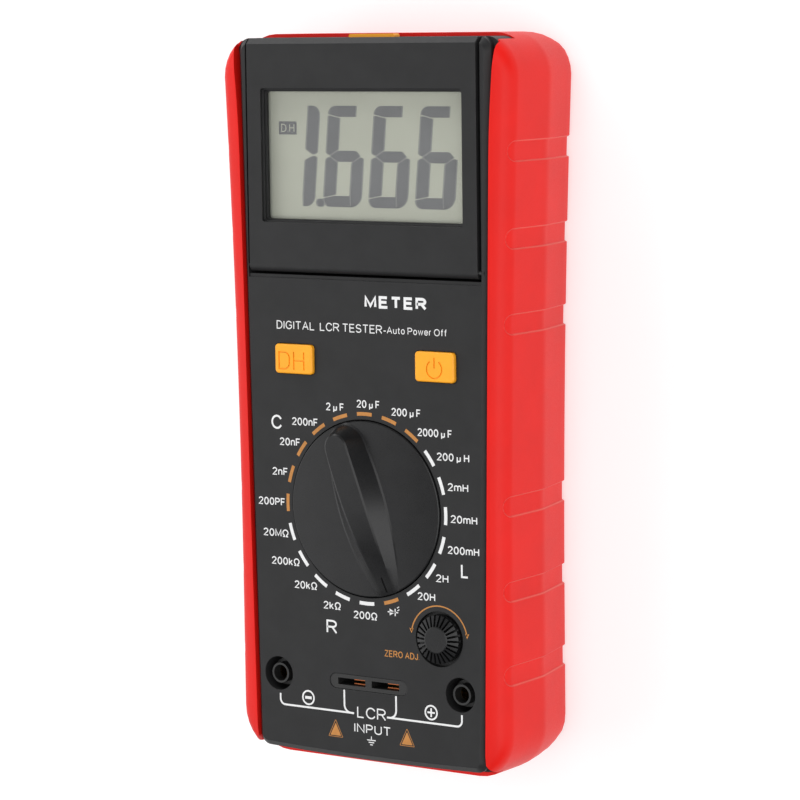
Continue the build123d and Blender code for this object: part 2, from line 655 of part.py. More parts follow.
# ---- Zero-adjust knob -------------------------------------------------------------------------
with BuildPart() as zero_knob:
    post(ZERO, 36.7, 38.7, ZERO_R)
    with Locations((ZERO[0], ZERO[1], 38.7)):
        Cone(ZERO_R, 3.2, 1.1, align=(Align.CENTER, Align.CENTER, Align.MIN))
        with PolarLocations(5.4, 26):
            Box(4.2, 0.55, 2.0, mode=Mode.SUBTRACT)
    post(ZERO, 36.7, 38.8, 1.5, Mode.SUBTRACT)
save(zero_knob, "zero_knob")

with BuildPart() as pot_shaft:
    post(ZERO, 29.8, 38.8, 1.5)
save(pot_shaft, "pot_shaft")


# ---- Push buttons -----------------------------------------------------------------------------
def push_button(x):
    """Cap that stands out of the face, its retaining flange and the stem above the switch."""
    with BuildPart() as button:
        with BuildSketch(Plane.XY.offset(34.6)):
            with Locations((x, BUTTON_Y)):
                RectangleRounded(BUTTON[0] + 2.0, BUTTON[1] + 2.0, 1.0)
        extrude(amount=1.2)
        with BuildSketch(Plane.XY.offset(34.6)):
            with Locations((x, BUTTON_Y)):
                RectangleRounded(BUTTON[0], BUTTON[1], 1.0)
        extrude(amount=FACE_Z + BUTTON_STANDS - 34.6)
        fillet(button.faces().sort_by(Axis.Z)[-1].edges(), 0.5)
        post((x, BUTTON_Y), 34.0, 34.6, 2.0)
    return button


save(push_button(BUTTON_XS[0]), "data_hold_button")
save(push_button(BUTTON_XS[1]), "power_button")

# ---- Display module ---------------------------------------------------------------------------
FRAME_WALL = 2.0
LID_Z = MODULE_BACK + BACK_PLATE
MODULE_SCREWS = [(-29.5, 40.5), (29.5, 40.5), (-29.5, 87.5), (29.5, 87.5)]
LATCH_HALF = 7.0
LATCH_Z = (29.9, 32.5)

with BuildPart() as display_frame:
    with BuildSketch(Plane.YZ.offset(-MODULE_HALF)) as profile:
        with BuildLine():
            Polyline(
                (MODULE_LOW, MODULE_BACK),
                (MODULE_LOW, MODULE_Z),
                (CASE_TOP, MODULE_Z),
                (CASE_TOP, MODULE_BACK),
                (MODULE_LOW, MODULE_BACK),
            )
        make_face()
        fillet(profile.vertices().group_by(Axis.Y)[-1].sort_by(Axis.X)[0], HINGE_ROUND)
        chamfer(profile.vertices().group_by(Axis.Y)[-1].sort_by(Axis.X)[-1], TOP_BEVEL)
    extrude(amount=2 * MODULE_HALF)
    # Inside, then a rim down to the clear window and the stepped window opening.
    inner_half = MODULE_HALF - FRAME_WALL
    slab((-inner_half, 36.0, 27), (inner_half, 92.3, 36.6), Mode.SUBTRACT)
    slab((-33.35, WINDOW_LOW - 3.6, 35.95), (33.35, WINDOW_HIGH + 3.6, 36.6))
    for depth, inset in ((2.7, 0.8), (1.7, 0.4), (0.9, 0.0)):
        with BuildSketch(Plane.XY.offset(MODULE_Z - depth)):
            with Locations((0, (WINDOW_LOW + WINDOW_HIGH) / 2)):
                RectangleRounded(2 * (WINDOW_HALF - inset), WINDOW_HIGH - WINDOW_LOW - 2 * inset, 0.8)
        extrude(amount=4, mode=Mode.SUBTRACT)
    for place in MODULE_SCREWS:
        post(place, LID_Z, 37.0, 2.2)
        post(place, LID_Z, 34.0, 0.9, Mode.SUBTRACT)
    slab((-LATCH_HALF - 0.2, 92, LATCH_Z[0] - 0.15), (LATCH_HALF + 0.2, 95, LATCH_Z[1] + 0.15), Mode.SUBTRACT)
    for side in (-1, 1):
        with Locations(Location((side * 34.6, HINGE_Y, HINGE_Z), (0, 90, 0))):
            Cylinder(PIN_R, 2.0, mode=Mode.SUBTRACT)
save(display_frame, "display_frame")

with BuildPart() as hinge_pins:
    for side in (-1, 1):
        with Locations(Location((side * 35.2, HINGE_Y, HINGE_Z), (0, 90, 0))):
            Cylinder(PIN_R, 3.2)
save(hinge_pins, "hinge_pins")

with BuildPart() as display_back:
    slab((-33.3, 36.05, MODULE_BACK), (33.3, 92.25, LID_Z))
    slab((-3.0, 84.9, LID_Z), (3.0, 85.6, 32.9))
    slab((-4.4, 86.0, 27), (4.4, 90.8, 30), Mode.SUBTRACT)
    slab((-9.0, 37.0, 27), (9.0, 39.6, 30), Mode.SUBTRACT)
    for place in MODULE_SCREWS:
        post(place, MODULE_BACK, LID_Z, 0.95, Mode.SUBTRACT)
        post(place, MODULE_BACK, MODULE_BACK + 0.9, 2.0, Mode.SUBTRACT)
save(display_back, "display_back")

with BuildPart() as display_screws:
    for place in MODULE_SCREWS:
        screw(place, MODULE_BACK + 0.15, 0.75, 1.8, 33.8, 0.85)
save(display_screws, "display_screws")

with BuildPart() as display_board:
    slab((-33.0, 43.4, 30.2), (33.0, 84.4, 31.4))
save(display_board, "display_board")

with BuildPart() as driver_chip:
    slab((-6, 58, 31.4), (6, 70, 32.5))
    chamfer(driver_chip.edges().group_by(Axis.Z)[-1], 0.2)
save(driver_chip, "driver_chip")

with BuildPart() as contact_strips:
    for strip_y in (44.0, 81.8):
        slab((-30, strip_y, 31.4), (30, strip_y + 1.8, 33.0))
save(contact_strips, "contact_strips")

with BuildPart() as lcd_reflector:
    slab((-31.5, 46.4, 32.7), (31.5, 81.2, 33.0))
save(lcd_reflector, "lcd_reflector")

with BuildPart() as lcd_glass:
    slab((-32.6, 43.7, 33.0), (32.6, 83.9, 33.95))
    slab((-32.6, 46.0, 33.95), (32.6, 82.0, LCD_Z))
save(lcd_glass, "lcd_glass")

with BuildPart() as display_window:
    slab((-33.1, WINDOW_LOW - 3.4, 35.15), (33.1, WINDOW_HIGH + 3.4, 35.95))
save(display_window, "display_window")

# ---- Latch ------------------------------------------------------------------------------------
with BuildPart() as display_latch:
    slab((-LATCH_HALF, 92.0, LATCH_Z[0]), (LATCH_HALF, 94.9, LATCH_Z[1]))
    fillet(display_latch.edges().filter_by(Axis.Z), 0.6)
    slab((-8.5, 91.0, 29.6), (8.5, 92.2, 32.8))
    slab((-6.0, 88.2, LATCH_Z[0]), (6.0, 92.0, LATCH_Z[1]))
save(display_latch, "display_latch")

with BuildPart() as latch_hook:
    slab((-3.8, 88.4, 25.9), (3.8, 89.7, LATCH_Z[0]))
    slab((-3.8, 89.6, 25.9), (3.8, 90.1, 26.8))
save(latch_hook, "latch_hook")

with BuildPart() as latch_spring:
    add(coil((0, 85.8, 31.2), (0, 1, 0), 2.2, 0.9, 0.18, 4))
save(latch_spring, "latch_spring")

# ---- Flex cable from the board to the module --------------------------------------------------
with BuildPart() as flex_socket:
    slab((-8, 22.6, 25.0), (8, 26.4, BOARD_Z))
save(flex_socket, "flex_socket")

with BuildPart() as flex_cable:
    with BuildSketch(Plane.YZ.offset(-7)):
        with BuildLine():
            FilletPolyline((26.45, 25.9), (29.5, 24.7), (37.2, 24.4), (37.6, 27.0), radius=0.9)
        trace(line_width=0.3)
    extrude(amount=14)
save(flex_cable, "flex_cable")
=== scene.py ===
import json
import math

import bmesh
import bpy
from mathutils import Matrix, Vector


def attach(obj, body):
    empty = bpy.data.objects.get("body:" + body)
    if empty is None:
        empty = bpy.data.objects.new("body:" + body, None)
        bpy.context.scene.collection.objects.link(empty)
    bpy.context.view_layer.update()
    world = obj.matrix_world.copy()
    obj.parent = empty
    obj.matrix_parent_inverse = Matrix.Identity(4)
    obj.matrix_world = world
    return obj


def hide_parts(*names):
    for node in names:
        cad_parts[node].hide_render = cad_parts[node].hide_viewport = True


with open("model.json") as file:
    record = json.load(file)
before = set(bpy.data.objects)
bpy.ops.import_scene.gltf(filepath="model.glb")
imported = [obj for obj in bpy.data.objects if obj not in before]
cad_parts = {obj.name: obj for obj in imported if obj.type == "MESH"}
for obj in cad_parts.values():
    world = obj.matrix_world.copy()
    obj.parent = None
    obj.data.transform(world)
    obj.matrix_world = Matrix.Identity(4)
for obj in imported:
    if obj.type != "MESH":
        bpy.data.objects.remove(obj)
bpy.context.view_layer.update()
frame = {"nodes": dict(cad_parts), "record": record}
NODES = frame["nodes"]
RECORD = frame["record"]
MM = 0.001

# Places in millimetres, in the CAD's own frame.
FACE_Z = 38.0
PRINT_Z = (38.0, 38.03)
OVER_Z = (38.0, 38.034)  # for a line that crosses another
DIAL = Vector((0.0, -27.0, 0.0))
ZERO = Vector((22.3, -59.0, 0.0))
LCD_Z = 34.9
TURN = math.radians(-162)  # the pointer, from straight up


# ---- Camera, light and floor ------------------------------------------------------------------
def area_light(name, place, target, size, watts):
    """Rectangular light at a place in metres, turned towards a target."""
    data = bpy.data.lights.new(name, "AREA")
    data.shape = "RECTANGLE"
    data.size, data.size_y = size
    data.energy = watts
    lamp = bpy.data.objects.new(name, data)
    bpy.context.scene.collection.objects.link(lamp)
    lamp.location = place
    lamp.rotation_euler = (Vector(target) - Vector(place)).to_track_quat("-Z", "Y").to_euler()


camera_data = bpy.data.cameras.new("camera")
camera_data.lens = 149.1
camera_data.sensor_width = 36.0
camera = bpy.data.objects.new("camera", camera_data)
camera.location = (0.4819, 0.0994, 0.7336)
camera.rotation_euler = [math.radians(a) for a in (-7.116, 34.0, -0.89)]
bpy.context.scene.collection.objects.link(camera)
bpy.context.scene.camera = camera
bpy.context.scene.view_settings.view_transform = "Standard"

world = bpy.data.worlds.new("studio")
bpy.context.scene.world = world
world.use_nodes = True
world.node_tree.nodes["Background"].inputs[0].default_value = (0.97, 0.98, 1.0, 1)
world.node_tree.nodes["Background"].inputs[1].default_value = 0.22

area_light("key_left", (-0.95, -0.10, 0.62), (0, 0, 0.02), (1.0, 1.3), 5.6)
area_light("fill_right", (1.15, -0.15, 0.42), (0.03, 0, 0.02), (0.6, 1.2), 4.6)
area_light("top_end", (-0.45, 1.05, 0.40), (0, 0, 0.02), (1.0, 0.6), 8)
area_light("overhead", (0.6, -0.1, 1.5), (0, 0, 0), (1.3, 1.6), 17)

floor_mesh = bpy.data.meshes.new("floor")
FLOOR_HALF = 4.0
FLOOR_Z = -0.00005
corner_signs = ((-1, -1), (1, -1), (1, 1), (-1, 1))
floor_corners = [(sx * FLOOR_HALF, sy * FLOOR_HALF, FLOOR_Z) for sx, sy in corner_signs]
floor_mesh.from_pydata(floor_corners, [], [(0, 1, 2, 3)])
floor = bpy.data.objects.new("floor", floor_mesh)
bpy.context.scene.collection.objects.link(floor)


# ---- Materials --------------------------------------------------------------------------------
ROUGH_VARY = 0.05


def surface(name, colour, rough, vary=0.06, spot=9.0, grain=0.3, bump=0.15, depth=0.02,
            metal=0.0, spec=0.5, coat=0.0, stretch=(1, 1, 1), alpha=1.0, edges=0.0):
    """Moulded or metal surface: drifting colour and gloss, and a fine grain in its bump. Sizes in mm."""
    mat = bpy.data.materials.new(name)
    mat.use_nodes = True
    nodes, links = mat.node_tree.nodes, mat.node_tree.links
    shader = nodes["Principled BSDF"]
    shader.inputs["Metallic"].default_value = metal
    shader.inputs["Specular IOR Level"].default_value = spec
    shader.inputs["Coat Weight"].default_value = coat
    shader.inputs["Coat Roughness"].default_value = 0.25
    shader.inputs["Alpha"].default_value = alpha
    place = nodes.new("ShaderNodeTexCoord")
    scaled = nodes.new("ShaderNodeMapping")
    scaled.inputs["Scale"].default_value = [1000 * s for s in stretch]
    links.new(place.outputs["Object"], scaled.inputs["Vector"])

    def noise(size, detail):
        node = nodes.new("ShaderNodeTexNoise")
        node.inputs["Scale"].default_value = 1 / size
        node.inputs["Detail"].default_value = detail
        links.new(scaled.outputs[0], node.inputs["Vector"])
        return node

    drift = noise(spot, 3)
    grains = noise(grain, 2)
    tone = nodes.new("ShaderNodeMix")
    tone.data_type = "RGBA"
    tone.inputs["A"].default_value = [c * (1 - vary) for c in colour] + [1]
    tone.inputs["B"].default_value = [min(1, c * (1 + vary)) for c in colour] + [1]
    spread = nodes.new("ShaderNodeMapRange")
    spread.inputs["From Min"].default_value = 0.3
    spread.inputs["From Max"].default_value = 0.7
    links.new(drift.outputs["Fac"], spread.inputs["Value"])
    links.new(spread.outputs[0], tone.inputs["Factor"])
    links.new(tone.outputs["Result"], shader.inputs["Base Color"])
    gloss = nodes.new("ShaderNodeMapRange")
    gloss.inputs["From Min"].default_value = 0.3
    gloss.inputs["From Max"].default_value = 0.7
    gloss.inputs["To Min"].default_value = max(0.02, rough - ROUGH_VARY)
    gloss.inputs["To Max"].default_value = min(1, rough + ROUGH_VARY)
    links.new(grains.outputs["Fac"], gloss.inputs["Value"])
    links.new(gloss.outputs[0], shader.inputs["Roughness"])
    relief = nodes.new("ShaderNodeBump")
    relief.inputs["Strength"].default_value = bump
    relief.inputs["Distance"].default_value = depth * MM
    links.new(grains.outputs["Fac"], relief.inputs["Height"])
    links.new(relief.outputs[0], shader.inputs["Normal"])
    if edges:
        soft = nodes.new("ShaderNodeBevel")
        soft.samples = 4
        soft.inputs["Radius"].default_value = edges * MM
        links.new(soft.outputs[0], relief.inputs["Normal"])
    return mat


PAPER = surface("studio_floor", (0.55, 0.55, 0.55), 0.8, vary=0.01, spot=60, grain=2, bump=0.05)
floor_mesh.materials.append(PAPER)
PAPER.node_tree.nodes["Principled BSDF"].inputs["Emission Color"].default_value = (1, 1, 1, 1)
PAPER.node_tree.nodes["Principled BSDF"].inputs["Emission Strength"].default_value = 0.52

SLOTS = {
    "boot_rubber": dict(colour=(0.74, 0.009, 0.005), rough=0.45, vary=0.04, spot=14, grain=0.35, bump=0.25,
                        spec=0.22),
    "case_plastic": dict(colour=(0.0155, 0.0155, 0.016), edges=0.25, rough=0.48, vary=0.12, spot=6,
                         grain=0.16,
                         bump=0.45, depth=0.03, spec=0.3),
    "stand_plastic": dict(colour=(0.026, 0.026, 0.027), rough=0.5, vary=0.12, grain=0.16, bump=0.45,
                          depth=0.03),
    "screw_steel": dict(colour=(0.55, 0.55, 0.56), rough=0.32, metal=1.0, grain=0.08, bump=0.3,
                        stretch=(1, 6, 1)),
    "battery_can": dict(colour=(0.10, 0.12, 0.16), rough=0.3, coat=0.4, vary=0.1, spot=5),
    "snap_plastic": dict(colour=(0.02, 0.02, 0.02), rough=0.5, vary=0.15),
    "red_wire": dict(colour=(0.5, 0.02, 0.02), rough=0.35),
    "black_wire": dict(colour=(0.015, 0.015, 0.015), rough=0.35),
    "board_laminate": dict(colour=(0.02, 0.14, 0.05), rough=0.35, vary=0.25, spot=1.5, coat=0.3),
    "chip_epoxy": dict(colour=(0.018, 0.018, 0.018), rough=0.55, vary=0.2, grain=0.1, bump=0.5),
    "capacitor_sleeve": dict(colour=(0.02, 0.03, 0.10), rough=0.25, vary=0.1),
    "film_epoxy": dict(colour=(0.30, 0.06, 0.02), rough=0.3, vary=0.15, grain=0.6, bump=0.5),
    "resistor_body": dict(colour=(0.16, 0.32, 0.42), rough=0.35, vary=0.3, spot=0.8),
    "can_steel": dict(colour=(0.7, 0.7, 0.71), rough=0.2, metal=1.0),
    "fuse_glass": dict(colour=(0.85, 0.9, 0.92), rough=0.06, alpha=0.35, bump=0.02),
    # Painted shade: the brass is darkened to stand in for the shade deep inside the jacks.
    "contact_brass": dict(colour=(0.22, 0.16, 0.08), rough=0.25, metal=1.0, grain=0.1, stretch=(1, 1, 5)),
    # Copper colour, darkened as painted shade for the shade inside the test slots.
    "copper_leaf": dict(colour=(0.36, 0.115, 0.045), rough=0.3, metal=1.0, grain=0.12, stretch=(5, 1, 1)),
    "switch_plastic": dict(colour=(0.03, 0.03, 0.034), rough=0.45),
    "socket_plastic": dict(colour=(0.012, 0.012, 0.012), rough=0.45, vary=0.15, grain=0.12, bump=0.4),
    "flex_film": dict(colour=(0.42, 0.14, 0.02), rough=0.25, vary=0.2, spot=0.7, coat=0.4),
    "knob_plastic": dict(colour=(0.009, 0.009, 0.0095), rough=0.3, vary=0.15, spot=5, grain=0.12, bump=0.3,
                         depth=0.012, spec=0.3),
    "rotor_plastic": dict(colour=(0.72, 0.71, 0.66), rough=0.45),
    "ball_steel": dict(colour=(0.8, 0.8, 0.8), rough=0.08, metal=1.0, bump=0.02),
    "spring_steel": dict(colour=(0.6, 0.6, 0.6), rough=0.25, metal=1.0, grain=0.05),
    "button_plastic": dict(colour=(0.98, 0.40, 0.020), rough=0.42, spec=0.3, vary=0.03, spot=4, grain=0.14,
                           bump=0.3),
    "pin_steel": dict(colour=(0.6, 0.6, 0.6), rough=0.3, metal=1.0, grain=0.06),
    "strip_rubber": dict(colour=(0.12, 0.12, 0.13), rough=0.7, vary=0.3, spot=0.4, stretch=(1, 0.1, 0.1)),
    "reflector_film": dict(colour=(0.75, 0.75, 0.7), rough=0.5),
    "lcd_panel": dict(colour=(0.335, 0.345, 0.270), rough=0.38, vary=0.025, spot=18, grain=0.1, bump=0.1,
                      spec=0.3),
    "clear_window": dict(colour=(0.9, 0.92, 0.9), rough=0.05, alpha=0.07, grain=8, bump=0.02),
    "print_white": dict(colour=(0.80, 0.80, 0.80), rough=0.5, vary=0.05, spot=1.2, grain=0.15, bump=0.2),
    "print_orange": dict(colour=(0.50, 0.205, 0.040), rough=0.5, vary=0.08, spot=1.2, grain=0.15, bump=0.2),
    "lcd_ink": dict(colour=(0.045, 0.045, 0.052), rough=0.4, vary=0.04, spot=5, grain=0.12, bump=0.1,
                    spec=0.3),
    "lcd_shadow": dict(colour=(0.13, 0.135, 0.125), rough=0.4, vary=0.04, spot=5, grain=0.12, bump=0.1,
                       spec=0.3),
}
MATERIALS = {name: surface(name, **look) for name, look in SLOTS.items()}

# Painted highlight: the rubber is paler along its groove edges, standing in for light caught on the rounded
# edges.
painted_edge_tree = MATERIALS["boot_rubber"].node_tree
edge_highlight_value = painted_edge_tree.nodes.new("ShaderNodeAttribute")
edge_highlight_value.attribute_name = "painted_edge_highlight"
edge_highlight_mix = painted_edge_tree.nodes.new("ShaderNodeMix")
edge_highlight_mix.data_type = "RGBA"
# paler red of the painted highlight on the groove edges
edge_highlight_mix.inputs["B"].default_value = (0.86, 0.17, 0.14, 1)
tone_link = painted_edge_tree.nodes["Principled BSDF"].inputs["Base Color"].links[0]
painted_edge_tree.links.new(tone_link.from_socket, edge_highlight_mix.inputs["A"])
painted_edge_tree.links.new(edge_highlight_value.outputs["Fac"], edge_highlight_mix.inputs["Factor"])
painted_edge_tree.links.new(edge_highlight_mix.outputs["Result"], painted_edge_tree.nodes["Principled BSDF"].inputs["Base Color"])

for part in RECORD["subparts"]:
    mesh = NODES[part["node"]].data
    mesh.materials.clear()
    mesh.materials.append(MATERIALS[part["material_slot"]])


# ---- Mesh helpers -----------------------------------------------------------------------------
def new_piece(name, mesh_bm, material, body, smooth=None):
    """Turns a bmesh drawn in millimetres into a piece that rides on a body."""
    bmesh.ops.remove_doubles(mesh_bm, verts=mesh_bm.verts, dist=0.0005)
    bmesh.ops.recalc_face_normals(mesh_bm, faces=mesh_bm.faces)
    bmesh.ops.scale(mesh_bm, vec=(MM, MM, MM), verts=mesh_bm.verts)
    mesh = bpy.data.meshes.new(name)
    mesh_bm.to_mesh(mesh)
    mesh_bm.free()
    mesh.materials.append(MATERIALS[material])
    piece = bpy.data.objects.new(name, mesh)
    bpy.context.scene.collection.objects.link(piece)
    if smooth is not None:
        smooth_by_angle(piece, smooth)
    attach(piece, body)
    return piece


def smooth_by_angle(piece, degrees):
    mesh = piece.data
    mesh.shade_smooth()
    limit = math.cos(math.radians(degrees))
    work = bmesh.new()
    work.from_mesh(mesh)
    for edge in work.edges:
        if len(edge.link_faces) == 2:
            a, b = edge.link_faces
            edge.smooth = a.normal.dot(b.normal) > limit
    work.to_mesh(mesh)
    work.free()


def plate(bm, outline, z):
    """Flat closed prism from an outline of points."""
    low = [bm.verts.new((x, y, z[0])) for x, y in outline]
    high = [bm.verts.new((x, y, z[1])) for x, y in outline]
    bm.faces.new(high)
    bm.faces.new(list(reversed(low)))
    for i in range(len(outline)):
        j = (i + 1) % len(outline)
        bm.faces.new((low[i], low[j], high[j], high[i]))


SHARP_TURN = 0.66  # a corner sharper than this has its point cut short


def stroke(bm, points, width, z, closed=False):
    """Flat line of a given width along points, as a closed prism."""
    count = len(points)
    rows = []
    for i, here in enumerate(points):
        before = points[(i - 1) % count] if closed or i > 0 else None
        after = points[(i + 1) % count] if closed or i < count - 1 else None
        legs = []
        if before is not None:
            legs.append((Vector(here) - Vector(before)).normalized())
        if after is not None:
            legs.append((Vector(after) - Vector(here)).normalized())
        along = sum(legs, Vector((0, 0))).normalized()
        across = Vector((-along.y, along.x))
        reach = width / 2 / max(SHARP_TURN, along.dot(legs[0]))
        left, right = Vector(here) + across * reach, Vector(here) - across * reach
        rows.append([bm.verts.new((p.x, p.y, h)) for h in z for p in (left, right)])
    last = count if closed else count - 1
    for i in range(last):
        a, b = rows[i], rows[(i + 1) % count]
        for p, q in ((0, 1), (1, 3), (3, 2), (2, 0)):
            bm.faces.new((a[p], a[q], b[q], b[p]))
    if not closed:
        for row in (rows[0], rows[-1]):
            bm.faces.new((row[0], row[1], row[3], row[2]))


def bow(x, y, rx, ry, start, end, steps=14):
    """Points of an oval's arc, angles in degrees clockwise from straight up."""
    turns = [math.radians(start + (end - start) * i / steps) for i in range(steps + 1)]
    return [(x + rx * math.sin(t), y + ry * math.cos(t)) for t in turns]


def arc(centre, radius, start, end, steps):
    """Points round a circle, angles in degrees clockwise from straight up."""
    return bow(centre[0], centre[1], radius, radius, start, end, steps)


def rounded(corners, steps=6):
    """Outline whose corners (x, y, radius) are rounded."""
    points = []
    for i, (x, y, radius) in enumerate(corners):
        here = Vector((x, y))
        if radius == 0:
            points.append((x, y))
            continue
        before = (Vector(corners[i - 1][:2]) - here).normalized()
        after = (Vector(corners[(i + 1) % len(corners)][:2]) - here).normalized()
        half = before.angle(after) / 2
        centre = here + (before + after).normalized() * (radius / math.sin(half))
        reach = radius / math.tan(half)
        first, last = here + before * reach - centre, here + after * reach - centre
        for k in range(steps + 1):
            p = centre + first.slerp(last, k / steps) * radius
            points.append((p.x, p.y))
    return points


# Each sign: its width and its lines, on a grid where capitals are 1 high.
LETTERS = {
    "0": (0.52, [bow(0.26, 0.5, 0.26, 0.5, 0, 360, 24)]),
    "2": (0.52, [bow(0.26, 0.73, 0.25, 0.27, -80, 118) + [(0, 0), (0.53, 0)]]),
    "A": (0.64, [[(0, 0), (0.32, 1), (0.64, 0)], [(0.11, 0.34), (0.53, 0.34)]]),
    "C": (0.62, [bow(0.34, 0.5, 0.34, 0.5, 60, -240, 20)]),
    "D": (0.58, [[(0.24, 0), (0, 0), (0, 1), (0.24, 1)] + bow(0.24, 0.5, 0.34, 0.5, 6, 180)]),
    "E": (0.50, [[(0.5, 1), (0, 1), (0, 0), (0.52, 0)], [(0, 0.52), (0.46, 0.52)]]),
    "F": (0.48, [[(0.48, 1), (0, 1), (0, 0)], [(0, 0.51), (0.42, 0.51)]]),
    "G": (0.66, [bow(0.34, 0.5, 0.34, 0.5, 55, -225, 20) + [(0.64, 0.22), (0.64, 0.48), (0.38, 0.48)]]),
    "H": (0.56, [[(0, 0), (0, 1)], [(0.56, 0), (0.56, 1)], [(0, 0.52), (0.56, 0.52)]]),
    "I": (0.02, [[(0.01, 0), (0.01, 1)]]),
    "J": (0.38, [[(0.38, 1)] + bow(0.19, 0.24, 0.19, 0.24, 90, 275, 8)]),
    "L": (0.46, [[(0, 1), (0, 0), (0.46, 0)]]),
    "M": (0.68, [[(0, 0), (0, 1), (0.34, 0.08), (0.68, 1), (0.68, 0)]]),
    "N": (0.60, [[(0, 0), (0, 1), (0.6, 0), (0.6, 1)]]),
    "O": (0.68, [bow(0.34, 0.5, 0.34, 0.5, 0, 360, 24)]),
    "P": (0.54, [[(0, 0), (0, 1), (0.3, 1)] + bow(0.3, 0.735, 0.24, 0.265, 8, 180, 9) + [(0, 0.47)]]),
    "R": (0.58, [[(0, 0), (0, 1), (0.34, 1)] + bow(0.34, 0.745, 0.24, 0.255, 8, 180, 9) + [(0, 0.49)],
                 [(0.32, 0.49), (0.6, 0)]]),
    "S": (0.54, [bow(0.27, 0.75, 0.25, 0.25, 70, -180) + bow(0.27, 0.25, 0.27, 0.25, 8, 255)]),
    "T": (0.58, [[(0, 1), (0.58, 1)], [(0.29, 1), (0.29, 0)]]),
    "U": (0.58, [[(0, 1)] + bow(0.29, 0.3, 0.29, 0.3, 270, 90, 10) + [(0.58, 1)]]),
    "Z": (0.54, [[(0, 1), (0.54, 1), (0, 0), (0.56, 0)]]),
    "e": (0.42, [[(0, 0.37), (0.42, 0.37)] + bow(0.21, 0.36, 0.21, 0.36, 80, -240)]),
    "f": (0.24, [[(0.1, 0)] + bow(0.24, 0.82, 0.14, 0.18, -90, 0, 5), [(0, 0.7), (0.24, 0.7)]]),
    "k": (0.42, [[(0, 0), (0, 1)], [(0.38, 0.72), (0, 0.3)], [(0.13, 0.44), (0.42, 0)]]),
    "m": (0.78, [[(0, 0), (0, 0.74)], bow(0.195, 0.5, 0.195, 0.24, -90, 90, 8) + [(0.39, 0)],
                 bow(0.585, 0.5, 0.195, 0.24, -90, 90, 8) + [(0.78, 0)]]),
    "n": (0.44, [[(0, 0), (0, 0.74)], bow(0.22, 0.5, 0.22, 0.24, -90, 90, 8) + [(0.44, 0)]]),
    "o": (0.42, [bow(0.21, 0.36, 0.21, 0.36, 0, 360, 18)]),
    "r": (0.20, [[(0, 0), (0, 0.72)], bow(0.2, 0.48, 0.2, 0.24, -90, 0, 5)]),
    "t": (0.24, [[(0.1, 0.94), (0.1, 0.12), (0.24, 0)], [(0, 0.7), (0.24, 0.7)]]),
    "u": (0.38, [[(0, 0.72)] + bow(0.19, 0.24, 0.19, 0.24, 270, 90, 8), [(0.38, 0.72), (0.38, 0)]]),
    "w": (0.60, [[(0, 0.72), (0.15, 0), (0.3, 0.7), (0.45, 0), (0.6, 0.72)]]),
    "\u00b5": (0.40, [[(0, 0.6), (0, -0.26)], [(0, 0.16), (0.1, 0), (0.3, 0), (0.4, 0.16)],
                     [(0.4, 0.6), (0.4, 0)]]),
    "\u03a9": (0.66, [[(0, 0), (0.22, 0)] + bow(0.33, 0.58, 0.33, 0.42, -150, 150, 18)
                     + [(0.44, 0), (0.66, 0)]]),
    "-": (0.26, [[(0, 0.34), (0.26, 0.34)]]),
    ".": (0.02, [[(0.01, 0), (0.01, 0.05)]]),
    " ": (0.02, []),
}
LETTER_GAP = 0.11
CROSSING_STEP = 0.003  # each further line of a letter stands this much higher


def lettering(bm, words, centre, cap, z, width, weight=0.14):
    """Upright text in strokes of one weight, centred on its capitals, to a capital height and a width."""
    thick = cap * weight
    natural = sum(LETTERS[sign][0] for sign in words) + (LETTER_GAP + weight) * (len(words) - 1)
    across = (width - thick) / natural
    up = cap - thick
    start = centre[0] - (width - thick) / 2
    for sign in words:
        wide, lines = LETTERS[sign]
        for k, line in enumerate(lines):
            points = [(start + x * across, centre[1] - up / 2 + y * up) for x, y in line]
            closed = math.dist(points[0], points[-1]) < 0.001
            stroke(bm, points[:-1] if closed else points, thick, (z[0], z[1] + CROSSING_STEP * k), closed)
        start += (wide + LETTER_GAP + weight) * across


# ---- Solids cut and joined --------------------------------------------------------------------
def solid(name, bm):
    """Plain object, in metres, from a bmesh drawn in millimetres."""
    bmesh.ops.remove_doubles(bm, verts=bm.verts, dist=0.0005)
    bmesh.ops.dissolve_degenerate(bm, edges=bm.edges, dist=0.0002)
    bmesh.ops.recalc_face_normals(bm, faces=bm.faces)
    bmesh.ops.scale(bm, vec=(MM, MM, MM), verts=bm.verts)
    mesh = bpy.data.meshes.new(name)
    bm.to_mesh(mesh)
    bm.free()
    piece = bpy.data.objects.new(name, mesh)
    bpy.context.scene.collection.objects.link(piece)
    return piece


def combine(piece, tool, operation):
    """Exact boolean of a piece with a tool, which is used up."""
    step = piece.modifiers.new("cut", "BOOLEAN")
    step.operation = operation
    step.solver = "EXACT"
    step.object = tool
    bpy.context.view_layer.update()
    result = bpy.data.meshes.new_from_object(piece.evaluated_get(bpy.context.evaluated_depsgraph_get()))
    piece.modifiers.clear()
    old = piece.data
    piece.data = result
    bpy.data.meshes.remove(old)
    bpy.data.objects.remove(tool)


def dress(piece, material, body, slot, smooth, *nodes):
    """Gives a piece its material, shading and body, and hides the CAD nodes that it stands for; slot is not
    used.
    """
    piece.data.materials.clear()
    piece.data.materials.append(MATERIALS[material])
    for face in piece.data.polygons:
        face.material_index = 0
    smooth_by_angle(piece, smooth)
    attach(piece, body)
    if nodes:
        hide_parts(*nodes)


def loft(rings, cap_pairs=False):
    """Closed skin over rings of equal count, each a list of points; cap_pairs closes its ends in strips."""
    bm = bmesh.new()
    rows = [[bm.verts.new(p) for p in ring] for ring in rings]
    count = len(rows[0])
    for a, b in zip(rows, rows[1:]):
        for i in range(count):
            j = (i + 1) % count
            bm.faces.new((a[i], a[j], b[j], b[i]))
    for row in (rows[0], rows[-1]):
        if cap_pairs:
            for i in range(count // 2 - 1):
                bm.faces.new((row[i], row[i + 1], row[count - 2 - i], row[count - 1 - i]))
        else:
            bm.faces.new(row)
    return bm


